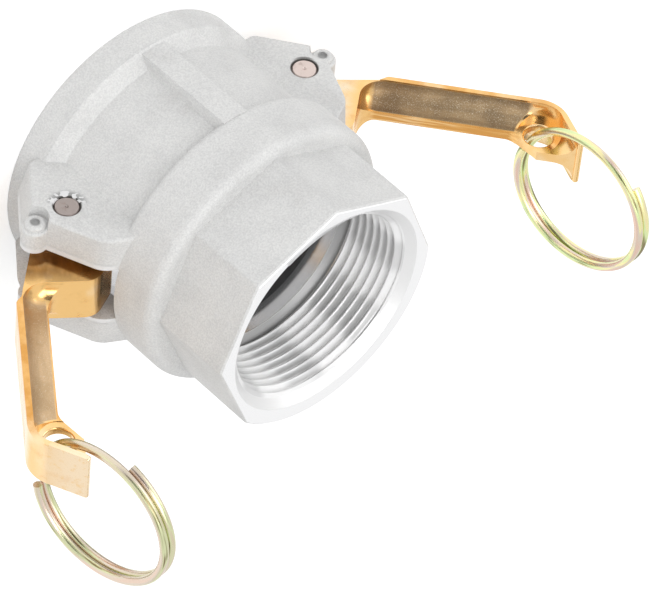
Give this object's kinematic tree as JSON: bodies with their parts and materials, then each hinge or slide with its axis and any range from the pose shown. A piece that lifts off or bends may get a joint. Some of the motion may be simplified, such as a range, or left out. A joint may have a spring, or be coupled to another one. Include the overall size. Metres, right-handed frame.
{
  "type": "cam and groove coupling",
  "caption": "Cast aluminium cam and groove coupler with a female pipe thread, brass cam arms that lock on a grooved adapter, and finger rings to pull them",
  "frame": {"origin": "centre of the mouth of the cup, which is the socket for the adapter", "axes": "+Z along the coupling's axis from the mouth to the threaded end; +X towards the right arm; +Y along the pivot pins"},
  "size_m": [0.1514, 0.066, 0.0893],
  "materials": {
    "cast_body": "fine sand casting, blasted, with a machined octagon face and bore",
    "seal_rubber": "matte black nitrile",
    "pin_steel": "plain turned",
    "arm_brass": "forged and tumbled, lightly tarnished",
    "ring_zinc": "yellow zinc plated wire"
  },
  "bodies": {
    "coupler": {"coupler_body": "cast_body", "seal_ring": "seal_rubber", "pivot_pin_left": "pin_steel", "pivot_pin_right": "pin_steel"},
    "left_arm": {"cam_arm_left": "arm_brass"},
    "right_arm": {"cam_arm_right": "arm_brass"},
    "left_ring": {"finger_ring_left": "ring_zinc"},
    "right_ring": {"finger_ring_right": "ring_zinc"}
  },
  "joints": [
    {"name": "left_arm_hinge", "type": "hinge", "parent": "coupler", "child": "left_arm", "pos_m": [-0.0335, 0, 0.02], "axis": [0, -1, 0], "range_deg": [-36, 59]},
    {"name": "right_arm_hinge", "type": "hinge", "parent": "coupler", "child": "right_arm", "pos_m": [0.0335, 0, 0.02], "axis": [0, 1, 0], "range_deg": [-40, 55]},
    {"name": "left_ring_hinge", "type": "hinge", "parent": "left_arm", "child": "left_ring", "pos_m": [-0.06809, 0, 0.05927], "axis": [0, 1, 0], "range_deg": [-7, 45]},
    {"name": "right_ring_hinge", "type": "hinge", "parent": "right_arm", "child": "right_ring", "pos_m": [0.07074, 0, 0.05676], "axis": [0, -1, 0], "range_deg": [-1, 55.8]}
  ]
}
